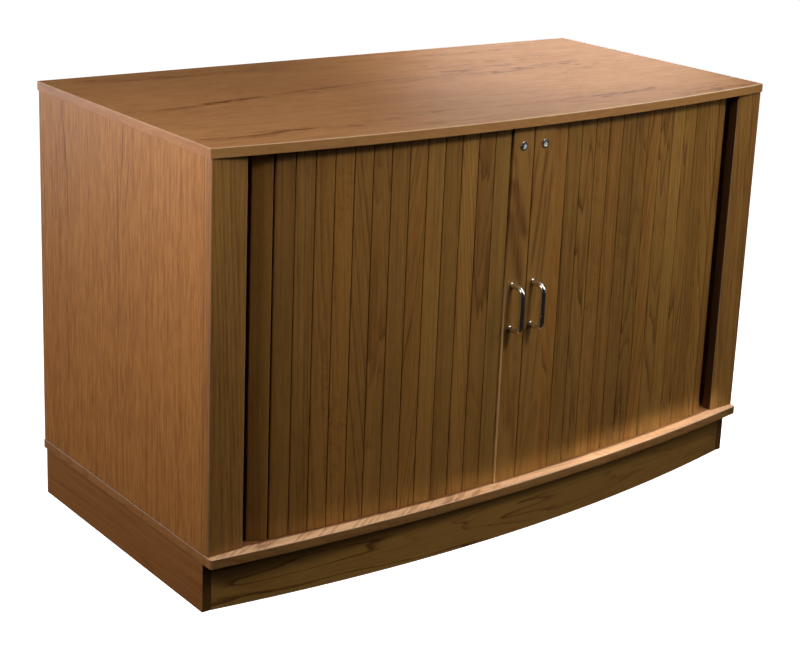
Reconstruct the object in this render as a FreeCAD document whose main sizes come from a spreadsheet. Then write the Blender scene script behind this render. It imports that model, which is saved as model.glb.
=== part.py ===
import FreeCAD, Part
import Sketcher
import math
import os

# Tambour door cabinet with a bowed front.
# Frame: +X to the right, +Y to the back, +Z up, origin on the floor under the
# middle of the overall box.  Millimetres.  The doors are shut.

V = FreeCAD.Vector
doc = FreeCAD.newDocument("tambour_cabinet")

# ----------------------------------------------------------------- dimensions
SIZES = [
    # carcass
    ("height", 762.0), ("top_wide", 1219.0), ("top_thick", 16.0),
    ("bow_y", 3946.5), ("top_rad", 4243.0), ("back_y", 319.2),
    ("ledge_wide", 1217.0), ("ledge_thick", 16.0), ("ledge_rad", 4252.0),
    ("ledge_corner", 5.0), ("base_high", 87.0),
    ("side_thick", 16.0), ("side_out", 607.3), ("stile_wide", 63.0),
    ("stile_thick", 20.0), ("stile_front", -251.5),
    ("backing_thick", 8.0), ("rabbet", 8.0),
    # plinth
    ("base_out", 606.4), ("board_thick", 16.0), ("base_front", -234.5),
    ("base_back", 313.5), ("kick_rad", 3157.0), ("kick_y", 2866.5),
    # inside
    ("liner_in", 480.0), ("liner_thick", 12.0), ("liner_front", -102.5),
    ("shelf_half", 479.4), ("shelf_front", -110.5), ("shelf_thick", 18.0),
    ("shelf_under", 416.0), ("pin_dia", 5.0), ("pin_long", 16.0),
    ("pin_hole", 5.1), ("pin_deep", 8.1), ("pin_front", -44.5), ("pin_back", 240.5),
    ("pin_pitch", 32.0),
    # tambour
    ("pitch", 34.4), ("slat_wide", 33.9), ("slat_thick", 10.0), ("slat_round", 1.8),
    ("slat_long", 640.6), ("slat_foot", 103.9), ("hinge_rad", 4215.5),
    ("lead_span", 47.0), ("lead_wide", 46.0), ("lead_thick", 14.5), ("lead_round", 2.0),
    ("tongue_thick", 5.0), ("tongue_long", 6.0), ("tongue_back", 2.5),
    ("groove_wide", 6.0), ("groove_back", 2.0), ("groove_deep", 7.0),
    ("turn_a", 18.0), ("turn_b", 33.0), ("turn_c", 41.0),
    ("canvas_thick", 0.8), ("canvas_gap", 0.1), ("canvas_start", 39.5),
    ("canvas_foot", 112.0), ("canvas_tall", 625.0),
    # pull
    ("pull_cc", 78.0), ("pull_dia", 9.5), ("pull_out", 29.16), ("pull_bend", 13.0),
    ("pull_mid", 428.0), ("pull_off", -9.0), ("foot_dia", 11.6), ("foot_high", 2.0),
    ("screw_dia", 4.0), ("screw_hole", 4.2), ("screw_deep", 9.0), ("screw_head", 8.0),
    ("screw_head_high", 2.6),
    # lock
    ("lock_z", 711.0), ("flange_dia", 15.6), ("flange_high", 1.6), ("barrel_dia", 14.0),
    ("barrel_hole", 14.2), ("barrel_rear", 2.0), ("plug_dia", 9.0), ("plug_hole", 9.12),
    ("plug_rear", 2.2), ("cam_thick", 3.0), ("cam_wide", 12.0), ("cam_long", 22.0),
    ("cam_eye", 14.0), ("stub_dia", 6.0), ("stub_hole", 6.1), ("rivet_dia", 8.0),
    ("rivet_high", 1.0), ("key_wide", 1.6), ("key_tall", 6.0), ("key_deep", 5.0),
    # keeper
    ("keep_x", 31.2), ("keep_thick", 2.0), ("keep_drop", 24.0), ("keep_flange", 22.0),
    ("keep_front", -266.7), ("keep_deep", 13.0),
]
dims = doc.addObject("Spreadsheet::Sheet", "dims")
val = {}
for row, (name, number) in enumerate(SIZES, start=1):
    dims.set("A%d" % row, name)
    dims.set("B%d" % row, repr(number))
    dims.setAlias("B%d" % row, name)
    val[name] = number
doc.recompute()

nodes = []


def bind(obj, **exprs):
    for prop, expr in exprs.items():
        obj.setExpression(prop.replace("__", "."), expr)


def at(obj, x=None, y=None, z=None):
    for axis, expr in (("x", x), ("y", y), ("z", z)):
        if expr is not None:
            obj.setExpression("Placement.Base." + axis, expr)


def block(name, length, width, high, x, y, z):
    """A board: length along X, width along Y, high along Z, from its low corner."""
    b = doc.addObject("Part::Box", name)
    bind(b, Length=length, Width=width, Height=high)
    at(b, x, y, z)
    return b


def post(name, radius, high, x, y, z, along="z"):
    """A round bar standing on x, y, z and running along +Z, +Y or +X."""
    c = doc.addObject("Part::Cylinder", name)
    if along == "y":
        c.Placement = FreeCAD.Placement(V(0, 0, 0), FreeCAD.Rotation(V(1, 0, 0), -90))
    elif along == "x":
        c.Placement = FreeCAD.Placement(V(0, 0, 0), FreeCAD.Rotation(V(0, 1, 0), 90))
    bind(c, Radius=radius, Height=high)
    at(c, x, y, z)
    return c


def cut(name, base, tool):
    o = doc.addObject("Part::Cut", name)
    o.Base, o.Tool = base, tool
    return o


def fuse(name, *shapes):
    o = doc.addObject("Part::MultiFuse", name)
    o.Shapes = list(shapes)
    return o


def common(name, a, b):
    o = doc.addObject("Part::MultiCommon", name)
    o.Shapes = [a, b]
    return o


def group(name, *shapes):
    o = doc.addObject("Part::Compound", name)
    o.Links = list(shapes)
    return o


def node(obj, label):
    obj.Label = label
    nodes.append(obj)
    return obj


def plane(body, role):
    for f in body.Origin.OriginFeatures:
        if f.Role == role:
            return f


def sketch_on(body, name, role):
    sk = body.newObject("Sketcher::SketchObject", name)
    sk.AttachmentSupport = [(plane(body, role), "")]
    sk.MapMode = "FlatFace"
    return sk


def rectangle(sk, wide_expr, deep_expr, back_expr, wide, deep, back):
    """Rectangle centred on x, with its back edge 'back' in front of y = 0."""
    x, y0, y1 = wide / 2.0, -back - deep, -back
    pts = [V(-x, y0, 0), V(x, y0, 0), V(x, y1, 0), V(-x, y1, 0)]
    for i in range(4):
        sk.addGeometry(Part.LineSegment(pts[i], pts[(i + 1) % 4]), False)
    for i in range(4):
        sk.addConstraint(Sketcher.Constraint("Coincident", i, 2, (i + 1) % 4, 1))
    sk.addConstraint(Sketcher.Constraint("Horizontal", 2))
    sk.addConstraint(Sketcher.Constraint("Vertical", 1))
    sk.addConstraint(Sketcher.Constraint("Vertical", 3))
    sk.addConstraint(Sketcher.Constraint("Symmetric", 0, 1, 0, 2, -2))
    c = sk.addConstraint(Sketcher.Constraint("DistanceX", 0, 1, 0, 2, wide))
    sk.setExpression("Constraints[%d]" % c, wide_expr)
    c = sk.addConstraint(Sketcher.Constraint("DistanceY", 1, 1, 1, 2, deep))
    sk.setExpression("Constraints[%d]" % c, deep_expr)
    if back_expr is None:
        sk.addConstraint(Sketcher.Constraint("PointOnObject", 2, 1, -1))
    else:
        c = sk.addConstraint(Sketcher.Constraint("DistanceY", 2, 1, -1, 1, back))
        sk.setExpression("Constraints[%d]" % c, back_expr)


def front_edges(shape, depth):
    """Names of the upright edges that lie on the front face."""
    names = []
    for i, e in enumerate(shape.Edges, start=1):
        a, b = e.Vertexes[0].Point, e.Vertexes[-1].Point
        if abs(a.x - b.x) < 1e-6 and abs(a.y - b.y) < 1e-6 and abs(a.y + depth) < 1e-6 and abs(a.z - b.z) > 100:
            names.append("Edge%d" % i)
    return names


# ------------------------------------------------------------- the door's track
# The hinge line is the back of the slats, where the canvas is.  It follows the
# bow, turns the corner in three steps and runs back beside the case side with
# the same gentle curve as the bow, so that the slats that lie on the side run
# keep the angles they had on the front.
DELTA = math.degrees(val["pitch"] / val["hinge_rad"])


def bow_point(run):
    a = run / val["hinge_rad"]
    return V(val["hinge_rad"] * math.sin(a), val["bow_y"] - val["hinge_rad"] * math.cos(a), 0)


LAST_ON_BOW = 13
SLATS = 15
TURNS = {13: val["turn_a"], 14: val["turn_b"], 15: val["turn_c"]}
ON_LEAD = 5                      # slats that never leave the bow
knots = [bow_point(val["lead_span"] + val["pitch"] * k) for k in range(LAST_ON_BOW + 1)]
headings = []
for k in range(LAST_ON_BOW):
    d = knots[k + 1] - knots[k]
    headings.append(math.degrees(math.atan2(d.y, d.x)))
for k in range(LAST_ON_BOW, 24):
    h = headings[-1] + TURNS.get(k, DELTA)
    headings.append(h)
    r = math.radians(h)
    knots.append(knots[-1] + V(math.cos(r), math.sin(r), 0) * val["pitch"])


def spot(side, mid, heading, z):
    """Placement of a piece whose own frame has x along the slat and +y to the back."""
    return FreeCAD.Placement(V(side * mid.x, mid.y, z), FreeCAD.Rotation(V(0, 0, 1), side * heading))


# ------------------------------------------------------------------ top and ledge
def track_tool(name, z_expr):
    """Everything that the tambour groove takes out of a panel, as one solid set."""
    gin, gout = "dims.hinge_rad + dims.groove_back", "dims.hinge_rad + dims.groove_back + dims.groove_wide"
    outer = post(name + "_ring_out", gout, "dims.groove_deep", None, "dims.bow_y", z_expr)
    inner = post(name + "_ring_in", gin, "dims.groove_deep", None, "dims.bow_y", z_expr)
    ring = cut(name + "_ring", outer, inner)
    reach = block(name + "_reach", "1000", "90", "dims.groove_deep", "-500", "-310", z_expr)
    tools = [common(name + "_bow", ring, reach)]
    for side, tag in ((-1, "l"), (1, "r")):
        for k in range(LAST_ON_BOW, LAST_ON_BOW + 10):
            b = doc.addObject("Part::Box", "%s_%s%d" % (name, tag, k))
            bind(b, Width="dims.groove_wide", Height="dims.groove_deep",
                 Length="dims.pitch + 6")
            r = math.radians(headings[k])
            along, out = V(math.cos(r), math.sin(r), 0), V(math.sin(r), -math.cos(r), 0)
            low = knots[k] + out * (val["groove_back"] + val["groove_wide"]) - along * 3.0
            z = val["height"] - val["top_thick"] if z_expr.startswith("dims.height") else \
                val["base_high"] + val["ledge_thick"] - val["groove_deep"]
            if side > 0:
                b.Placement = FreeCAD.Placement(V(low.x, low.y, z), FreeCAD.Rotation(V(0, 0, 1), headings[k]))
            else:
                far = knots[k] + out * (val["groove_back"] + val["groove_wide"]) + along * (val["pitch"] + 3.0)
                b.Placement = FreeCAD.Placement(V(-far.x, far.y, z), FreeCAD.Rotation(V(0, 0, 1), -headings[k]))
            tools.append(b)
    return fuse(name, *tools)


top_blank = block("top_blank", "dims.top_wide", "dims.back_y + 320", "dims.top_thick",
                  "-dims.top_wide / 2", "-320", "dims.height - dims.top_thick")
top_disc = post("top_disc", "dims.top_rad", "dims.top_thick", None, "dims.bow_y", "dims.height - dims.top_thick")
top_plain = common("top_plain", top_blank, top_disc)
node(cut("top_panel", top_plain, track_tool("top_track", "dims.height - dims.top_thick")), "top_panel")

ledge_blank = block("ledge_blank", "dims.ledge_wide", "dims.back_y + 320", "dims.ledge_thick",
                    "-dims.ledge_wide / 2", "-320", "dims.base_high")
ledge_disc = post("ledge_disc", "dims.ledge_rad", "dims.ledge_thick", None, "dims.bow_y", "dims.base_high")
ledge_plain = common("ledge_plain", ledge_blank, ledge_disc)
doc.recompute()
ledge_soft = doc.addObject("Part::Fillet", "ledge_soft")
ledge_soft.Base = ledge_plain
picks = []
for i, e in enumerate(ledge_plain.Shape.Edges, start=1):
    a, b = e.Vertexes[0].Point, e.Vertexes[-1].Point
    if abs(a.x - b.x) < 1e-4 and abs(a.y - b.y) < 1e-4 and a.y < 0:
        picks.append((i, val["ledge_corner"], val["ledge_corner"]))
ledge_soft.Edges = picks
node(cut("bottom_panel", ledge_soft,
         track_tool("ledge_track", "dims.base_high + dims.ledge_thick - dims.groove_deep")), "bottom_panel")

# ------------------------------------------------------------------ case sides
FLOOR = "dims.base_high + dims.ledge_thick"
INNER = "dims.height - dims.top_thick - dims.base_high - dims.ledge_thick"
for side, tag in ((-1, "left"), (1, "right")):
    low = "dims.side_out - dims.side_thick" if side > 0 else "-dims.side_out"
    panel = block(tag + "_side_blank", "dims.side_thick",
                  "dims.back_y - dims.stile_front - dims.stile_thick", INNER,
                  low, "dims.stile_front + dims.stile_thick", FLOOR)
    step = block(tag + "_side_rabbet", "dims.rabbet", "dims.backing_thick", INNER,
                 "dims.side_out - dims.side_thick" if side > 0 else
                 "dims.side_thick - dims.side_out - dims.rabbet",
                 "dims.back_y - dims.backing_thick", FLOOR)
    node(cut(tag + "_side_panel", panel, step), tag + "_side_panel")
    node(block(tag + "_stile", "dims.stile_wide", "dims.stile_thick", INNER,
               "dims.side_out - dims.stile_wide" if side > 0 else "-dims.side_out",
               "dims.stile_front", FLOOR), tag + "_stile")

node(block("back_panel", "2 * (dims.side_out - dims.side_thick + dims.rabbet)", "dims.backing_thick", INNER,
           "dims.side_thick - dims.side_out - dims.rabbet", "dims.back_y - dims.backing_thick", FLOOR), "back_panel")

# ------------------------------------------------------------------ plinth
for side, tag in ((-1, "left"), (1, "right")):
    node(block("base_%s_board" % tag, "dims.board_thick", "dims.base_back - dims.base_front", "dims.base_high",
               "dims.base_out - dims.board_thick" if side > 0 else "-dims.base_out",
               "dims.base_front", "0"), "base_%s_board" % tag)
node(block("base_back_board", "2 * (dims.base_out - dims.board_thick)", "dims.board_thick", "dims.base_high",
           "dims.board_thick - dims.base_out", "dims.base_back - dims.board_thick", "0"), "base_back_board")
kick_out = post("kick_out", "dims.kick_rad", "dims.base_high", None, "dims.kick_y", "0")
kick_in = post("kick_in", "dims.kick_rad - dims.board_thick", "dims.base_high", None, "dims.kick_y", "0")
kick_ring = cut("kick_ring", kick_out, kick_in)
kick_reach = block("kick_reach", "2 * (dims.base_out - dims.board_thick)", "160", "dims.base_high",
                   "dims.board_thick - dims.base_out", "-310", "0")
node(common("base_front_kick", kick_ring, kick_reach), "base_front_kick")

# ------------------------------------------------------------------ liners, shelf and pins
ROWS = 7
for side, tag in ((-1, "left"), (1, "right")):
    board = block(tag + "_liner_blank", "dims.liner_thick",
                  "dims.back_y - dims.backing_thick - dims.liner_front", INNER,
                  "dims.liner_in" if side > 0 else "-dims.liner_in - dims.liner_thick",
                  "dims.liner_front", FLOOR)
    holes = []
    for col in ("pin_front", "pin_back"):
        for row in range(ROWS):
            holes.append(post("%s_%s_hole%d" % (tag, col, row), "dims.pin_hole / 2", "dims.pin_deep",
                              "dims.liner_in" if side > 0 else "-dims.liner_in - dims.pin_deep",
                              "dims." + col,
                              "dims.shelf_under - dims.pin_dia / 2 + %d * dims.pin_pitch" % (row - ROWS // 2),
                              "x"))
    node(cut(tag + "_inner_side", board, fuse(tag + "_pin_holes", *holes)), tag + "_inner_side")

node(block("shelf", "2 * dims.shelf_half", "dims.back_y - dims.backing_thick - 1 - dims.shelf_front",
           "dims.shelf_thick", "-dims.shelf_half", "dims.shelf_front", "dims.shelf_under"), "shelf")
pins = []
for side, tag in ((-1, "left"), (1, "right")):
    for col in ("pin_front", "pin_back"):
        pins.append(post("%s_%s" % (tag, col), "dims.pin_dia / 2", "dims.pin_long",
                         "dims.liner_in - dims.pin_long / 2" if side > 0 else "-dims.liner_in - dims.pin_long / 2",
                         "dims." + col, "dims.shelf_under - dims.pin_dia / 2", "x"))
node(group("shelf_pins", *pins), "shelf_pins")

# ------------------------------------------------------------------ lock keepers under the top
keepers = []
for side, tag in ((-1, "left"), (1, "right")):
    prong = block(tag + "_keeper_prong", "dims.keep_thick", "dims.keep_deep", "dims.keep_drop",
                  "dims.keep_x" if side > 0 else "-dims.keep_x - dims.keep_thick", "dims.keep_front",
                  "dims.height - dims.top_thick - dims.keep_drop")
    wing = block(tag + "_keeper_wing", "dims.keep_flange", "dims.keep_deep", "dims.keep_thick",
                 "dims.keep_x" if side > 0 else "-dims.keep_x - dims.keep_flange", "dims.keep_front",
                 "dims.height - dims.top_thick - dims.keep_thick")
    keepers.append(fuse(tag + "_keeper", prong, wing))
node(group("lock_keepers", *keepers), "lock_keepers")


# ------------------------------------------------------------------ slats
def slat(label, place, tongued):
    body = doc.addObject("PartDesign::Body", label)
    sk = sketch_on(body, label + "_section", "XY_Plane")
    rectangle(sk, "dims.slat_wide", "dims.slat_thick", None, val["slat_wide"], val["slat_thick"], 0.0)
    pad = body.newObject("PartDesign::Pad", label + "_stick")
    pad.Profile = sk
    pad.setExpression("Length", "dims.slat_long")
    doc.recompute()
    soft = body.newObject("PartDesign::Fillet", label + "_soft")
    soft.Base = (pad, front_edges(pad.Shape, val["slat_thick"]))
    soft.setExpression("Radius", "dims.slat_round")
    body.Tip = soft
    if tongued:
        doc.recompute()
        st = sketch_on(body, label + "_tongue", "XY_Plane")
        st.setExpression("AttachmentOffset.Base.z", "-dims.tongue_long")
        rectangle(st, "dims.slat_wide - 8", "dims.tongue_thick", "dims.tongue_back",
                  val["slat_wide"] - 8, val["tongue_thick"], val["tongue_back"])
        tp = body.newObject("PartDesign::Pad", label + "_tongues")
        tp.Profile = st
        tp.setExpression("Length", "dims.slat_long + 2 * dims.tongue_long")
        body.Tip = tp
    body.Placement = place
    return node(body, label)


lead_mid = (bow_point(0.0) + knots[0]) * 0.5
lead_head = math.degrees(math.atan2(knots[0].y - bow_point(0.0).y, knots[0].x - bow_point(0.0).x))

for side, tag in ((-1, "left"), (1, "right")):
    for i in range(1, SLATS + 1):
        mid = (knots[i - 1] + knots[i]) * 0.5
        slat("%s_slat_%02d" % (tag, i), spot(side, mid, headings[i - 1], val["slat_foot"]), i <= ON_LEAD)

    # lead rail, thicker than the slats, bored for the pull and the lock
    body = doc.addObject("PartDesign::Body", tag + "_lead_rail")
    sk = sketch_on(body, tag + "_lead_section", "XY_Plane")
    rectangle(sk, "dims.lead_wide", "dims.lead_thick", None, val["lead_wide"], val["lead_thick"], 0.0)
    pad = body.newObject("PartDesign::Pad", tag + "_lead_stick")
    pad.Profile = sk
    pad.setExpression("Length", "dims.slat_long")
    doc.recompute()
    soft = body.newObject("PartDesign::Fillet", tag + "_lead_soft")
    soft.Base = (pad, front_edges(pad.Shape, val["lead_thick"]))
    soft.setExpression("Radius", "dims.lead_round")
    body.Tip = soft
    doc.recompute()
    st = sketch_on(body, tag + "_lead_tongue", "XY_Plane")
    st.setExpression("AttachmentOffset.Base.z", "-dims.tongue_long")
    rectangle(st, "dims.lead_wide - 12", "dims.tongue_thick", "dims.tongue_back",
              val["lead_wide"] - 12, val["tongue_thick"], val["tongue_back"])
    tp = body.newObject("PartDesign::Pad", tag + "_lead_tongues")
    tp.Profile = st
    tp.setExpression("Length", "dims.slat_long + 2 * dims.tongue_long")
    body.Tip = tp
    doc.recompute()
    solid_before = tp.Shape.Volume
    hs = sketch_on(body, tag + "_lead_bores", "XZ_Plane")
    bores = [("dims.pull_mid - dims.pull_cc / 2 - dims.slat_foot", val["pull_mid"] - val["pull_cc"] / 2 - val["slat_foot"], "screw_hole"),
             ("dims.pull_mid + dims.pull_cc / 2 - dims.slat_foot", val["pull_mid"] + val["pull_cc"] / 2 - val["slat_foot"], "screw_hole"),
             ("dims.lock_z - dims.slat_foot", val["lock_z"] - val["slat_foot"], "barrel_hole")]
    for g, (expr, up, dia) in enumerate(bores):
        aside = val["pull_off"] if dia == "screw_hole" else 0.0
        hs.addGeometry(Part.Circle(V(aside, up, 0), V(0, 0, 1), val[dia] / 2), False)
        if dia == "screw_hole":
            c = hs.addConstraint(Sketcher.Constraint("DistanceX", -1, 1, g, 3, val["pull_off"]))
            hs.setExpression("Constraints[%d]" % c, "dims.pull_off")
        else:
            hs.addConstraint(Sketcher.Constraint("PointOnObject", g, 3, -2))
        c = hs.addConstraint(Sketcher.Constraint("DistanceY", -1, 1, g, 3, up))
        hs.setExpression("Constraints[%d]" % c, expr)
        c = hs.addConstraint(Sketcher.Constraint("Diameter", g, val[dia]))
        hs.setExpression("Constraints[%d]" % c, "dims." + dia)
    pk = body.newObject("PartDesign::Pocket", tag + "_lead_pocket")
    pk.Profile = hs
    pk.Midplane = True
    pk.Length = 80.0
    body.Tip = pk
    doc.recompute()
    bored = math.pi / 4 * (2 * val["screw_hole"] ** 2 + val["barrel_hole"] ** 2) * val["lead_thick"]
    if abs(solid_before - pk.Shape.Volume - bored) > 1.0:
        raise RuntimeError("lead rail bores did not cut: %.1f instead of %.1f" % (solid_before - pk.Shape.Volume, bored))
    body.Placement = spot(side, lead_mid, lead_head, val["slat_foot"])
    node(body, tag + "_lead_rail")

    hardware = spot(side, lead_mid, lead_head, 0.0)
    aside = hardware.multiply(FreeCAD.Placement(V(val["pull_off"], 0, 0), FreeCAD.Rotation()))

    # wire pull: two legs with small feet, two bends and the grip
    face, bar = "-dims.lead_thick", "-dims.lead_thick - dims.pull_out"
    ends = []
    for up, s in (("dims.pull_mid - dims.pull_cc / 2", -1), ("dims.pull_mid + dims.pull_cc / 2", 1)):
        n = tag + ("_pull_low" if s < 0 else "_pull_high")
        ends.append(post(n + "_leg", "dims.pull_dia / 2", "dims.pull_out - dims.pull_bend",
                         None, bar + " + dims.pull_bend", up, "y"))
        ends.append(post(n + "_foot", "dims.foot_dia / 2", "dims.foot_high", None, face + " - dims.foot_high", up, "y"))
        bend = doc.addObject("Part::Torus", n + "_bend")
        # quarter of a ring in the YZ plane
        if s > 0:
            turn = FreeCAD.Matrix(0, 0, -1, 0, -1, 0, 0, 0, 0, 1, 0, 0, 0, 0, 0, 1)
        else:
            turn = FreeCAD.Matrix(0, 0, 1, 0, -1, 0, 0, 0, 0, -1, 0, 0, 0, 0, 0, 1)
        bend.Placement = FreeCAD.Placement(turn)
        bind(bend, Radius1="dims.pull_bend", Radius2="dims.pull_dia / 2")
        bend.Angle3 = 90.0
        at(bend, None, bar + " + dims.pull_bend", up + (" - dims.pull_bend" if s > 0 else " + dims.pull_bend"))
        ends.append(bend)
    grip = post(tag + "_pull_grip", "dims.pull_dia / 2", "dims.pull_cc - 2 * dims.pull_bend", None, bar,
                "dims.pull_mid - dims.pull_cc / 2 + dims.pull_bend")
    whole = fuse(tag + "_pull_whole", grip, *ends)
    taps = fuse(tag + "_pull_taps",
                post(tag + "_tap_low", "dims.screw_hole / 2", "dims.screw_deep", None, face + " - dims.screw_deep",
                     "dims.pull_mid - dims.pull_cc / 2", "y"),
                post(tag + "_tap_high", "dims.screw_hole / 2", "dims.screw_deep", None, face + " - dims.screw_deep",
                     "dims.pull_mid + dims.pull_cc / 2", "y"))
    pull = cut(tag + "_pull", whole, taps)
    pull.Placement = aside
    node(pull, tag + "_pull")

    screws = []
    for n, up in (("low", "dims.pull_mid - dims.pull_cc / 2"), ("high", "dims.pull_mid + dims.pull_cc / 2")):
        shank = post("%s_screw_%s_shank" % (tag, n), "dims.screw_dia / 2", "dims.lead_thick + dims.screw_deep - 1",
                     None, face + " - dims.screw_deep + 1", up, "y")
        head = post("%s_screw_%s_head" % (tag, n), "dims.screw_head / 2", "dims.screw_head_high", None, "0", up, "y")
        screws.append(fuse("%s_screw_%s" % (tag, n), shank, head))
    pair = group(tag + "_pull_screws", *screws)
    pair.Placement = aside
    node(pair, tag + "_pull_screws")

    # cam lock: barrel with a front flange, turning plug, cam riveted on the plug
    up = "dims.lock_z"
    barrel = fuse(tag + "_barrel_whole",
                  post(tag + "_flange", "dims.flange_dia / 2", "dims.flange_high", None, face + " - dims.flange_high", up, "y"),
                  post(tag + "_barrel", "dims.barrel_dia / 2", "dims.lead_thick + dims.barrel_rear", None, face, up, "y"))
    bore = post(tag + "_bore", "dims.plug_hole / 2", "dims.lead_thick + 20", None, face + " - 10", up, "y")
    cyl = cut(tag + "_lock_cylinder", barrel, bore)
    cyl.Placement = hardware
    node(cyl, tag + "_lock_cylinder")

    plug_front = face + " - dims.flange_high + 0.3"
    plug_whole = fuse(tag + "_plug_whole",
                      post(tag + "_plug_barrel", "dims.plug_dia / 2",
                           "dims.lead_thick + dims.flange_high - 0.3 + dims.plug_rear", None, plug_front, up, "y"),
                      post(tag + "_plug_stub", "dims.stub_dia / 2", "dims.cam_thick", None, "dims.plug_rear", up, "y"),
                      post(tag + "_plug_rivet", "dims.rivet_dia / 2", "dims.rivet_high", None,
                           "dims.plug_rear + dims.cam_thick", up, "y"))
    slot = block(tag + "_key_slot", "dims.key_wide", "dims.key_deep + 2", "dims.key_tall",
                 "-dims.key_wide / 2", plug_front + " - 2", "dims.lock_z - dims.key_tall / 2")
    plug = cut(tag + "_lock_plug", plug_whole, slot)
    plug.Placement = hardware
    node(plug, tag + "_lock_plug")

    cam_whole = fuse(tag + "_cam_whole",
                     block(tag + "_cam_arm", "dims.cam_wide", "dims.cam_thick", "dims.cam_long",
                           "-dims.cam_wide / 2", "dims.plug_rear", "dims.lock_z - dims.cam_long"),
                     post(tag + "_cam_round", "dims.cam_eye / 2", "dims.cam_thick", None, "dims.plug_rear", up, "y"))
    eye = post(tag + "_cam_eye", "dims.stub_hole / 2", "dims.cam_thick + 2", None, "dims.plug_rear - 1", up, "y")
    cam = cut(tag + "_lock_cam", cam_whole, eye)
    cam.Placement = hardware
    node(cam, tag + "_lock_cam")

    # canvas glued behind the lead rail and the slats that stay on the bow
    c_out = post(tag + "_canvas_out", "dims.hinge_rad - dims.canvas_gap", "dims.canvas_tall", None, "dims.bow_y", "dims.canvas_foot")
    c_in = post(tag + "_canvas_in", "dims.hinge_rad - dims.canvas_gap - dims.canvas_thick", "dims.canvas_tall", None,
                "dims.bow_y", "dims.canvas_foot")
    far = "dims.lead_span + %d * dims.pitch - 1" % ON_LEAD
    reach = block(tag + "_canvas_reach", far + " - dims.canvas_start", "60", "dims.canvas_tall",
                  "dims.canvas_start" if side > 0 else "-(%s)" % far, "-300", "dims.canvas_foot")
    node(common(tag + "_canvas", cut(tag + "_canvas_ring", c_out, c_in), reach), tag + "_canvas")

doc.recompute()

# ------------------------------------------------------------------ test and write
for o in doc.Objects:
    if "Invalid" in o.State or "Error" in o.State:
        raise RuntimeError("%s failed: %s" % (o.Label, o.State))
for o in nodes:
    if o.Shape.isNull() or not o.Shape.isValid() or not o.Shape.Solids:
        raise RuntimeError("%s has no valid solid" % o.Label)

os.makedirs("parts", exist_ok=True)
for o in nodes:
    o.Shape.exportStep("parts/%s.step" % o.Label)
    bb = o.Shape.BoundBox
    print("%-20s solids %d  vol %10.1f  x %8.2f %8.2f  y %8.2f %8.2f  z %7.2f %7.2f" % (
        o.Label, len(o.Shape.Solids), o.Shape.Volume, bb.XMin, bb.XMax, bb.YMin, bb.YMax, bb.ZMin, bb.ZMax))
print("%d nodes" % len(nodes))
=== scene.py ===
import bpy, bmesh, math
import numpy as np
from mathutils import Matrix, Vector


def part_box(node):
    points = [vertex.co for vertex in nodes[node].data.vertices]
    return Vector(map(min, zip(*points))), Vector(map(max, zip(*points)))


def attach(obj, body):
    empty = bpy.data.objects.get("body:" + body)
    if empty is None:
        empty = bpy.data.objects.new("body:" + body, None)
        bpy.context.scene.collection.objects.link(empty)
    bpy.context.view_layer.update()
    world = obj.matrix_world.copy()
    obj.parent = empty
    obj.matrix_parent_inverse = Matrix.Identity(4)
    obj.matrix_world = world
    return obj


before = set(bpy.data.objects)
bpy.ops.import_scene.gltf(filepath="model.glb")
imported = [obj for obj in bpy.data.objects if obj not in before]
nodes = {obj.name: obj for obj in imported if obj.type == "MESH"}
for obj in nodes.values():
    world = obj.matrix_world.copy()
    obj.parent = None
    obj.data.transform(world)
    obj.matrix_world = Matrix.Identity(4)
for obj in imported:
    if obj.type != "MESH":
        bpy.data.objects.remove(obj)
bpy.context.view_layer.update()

scene = bpy.context.scene


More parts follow.
